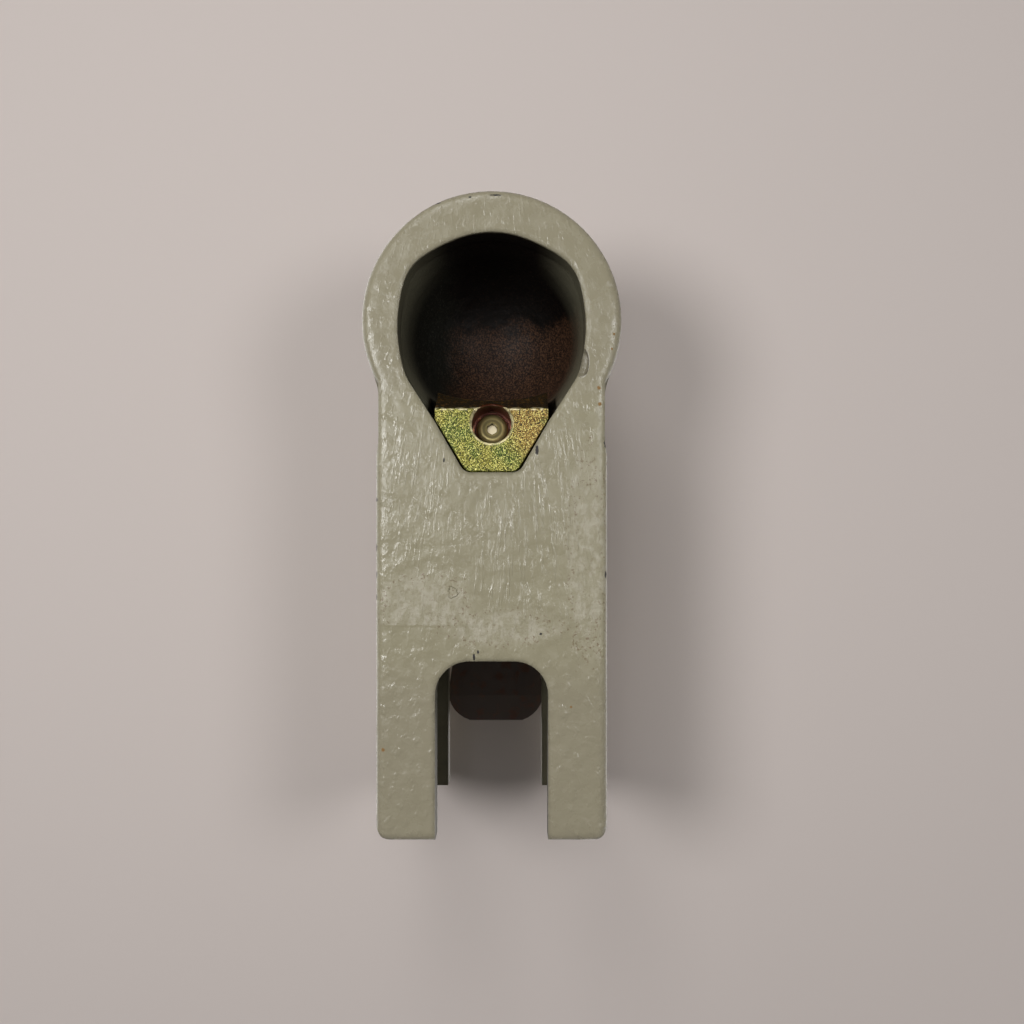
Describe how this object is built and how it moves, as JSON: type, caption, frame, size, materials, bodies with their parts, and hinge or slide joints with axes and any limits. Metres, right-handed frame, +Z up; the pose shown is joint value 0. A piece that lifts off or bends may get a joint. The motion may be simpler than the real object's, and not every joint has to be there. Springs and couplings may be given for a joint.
{
  "type": "trailer coupling head",
  "caption": "Cast trailer coupling head with a ball cup, a sliding keeper lifted by a top lever, and a slotted square drawbar socket with cross bolt holes.",
  "frame": {"origin": "centre of the towing ball, which is the centre of the ball cup", "axes": "+X forward towards the towing vehicle, +Y to the left, +Z up; the cup opens downwards and the drawbar enters from behind"},
  "size_m": [0.1853, 0.0742, 0.0864],
  "materials": {
    "cast_paint": "semi-gloss grey-beige paint over cast iron",
    "keeper_plating": "worn yellow-green plating",
    "screw_steel": "dark oiled steel",
    "rod_steel": "turned steel",
    "pin_steel": "ground steel",
    "spring_steel": "dark spring steel",
    "bush_bronze": "plain bearing bronze",
    "lever_iron": "dark worn paint",
    "pivot_zinc": "zinc plated",
    "washer_zinc": "zinc plated",
    "ring_steel": "black spring steel"
  },
  "bodies": {
    "housing": {"housing": "cast_paint", "guide_bush": "bush_bronze", "pivot_pin": "pivot_zinc", "pivot_washer": "washer_zinc", "pivot_ring": "ring_steel"},
    "lever": {"lever": "lever_iron"},
    "keeper": {"keeper": "keeper_plating", "keeper_screw": "screw_steel", "draw_rod": "rod_steel", "lift_pin": "pin_steel", "spring": "spring_steel"}
  },
  "joints": [
    {"name": "lever_hinge", "type": "hinge", "parent": "housing", "child": "lever", "pos_m": [-0.05539, 0, 0.0507], "axis": [0, 1, 0], "range_deg": [0, 39.3], "stiffness_Nm_per_rad": 1.743, "springref_deg": -35.35},
    {"name": "keeper_slide", "type": "slide", "parent": "housing", "child": "keeper", "axis": [-0.5736, 0, 0.8192], "range_m": [0, 0.01], "deforming": ["spring"]}
  ],
  "couplings": [
    {"joint": "keeper_slide", "follows": "lever_hinge", "m_per_rad": 0.014579}
  ]
}
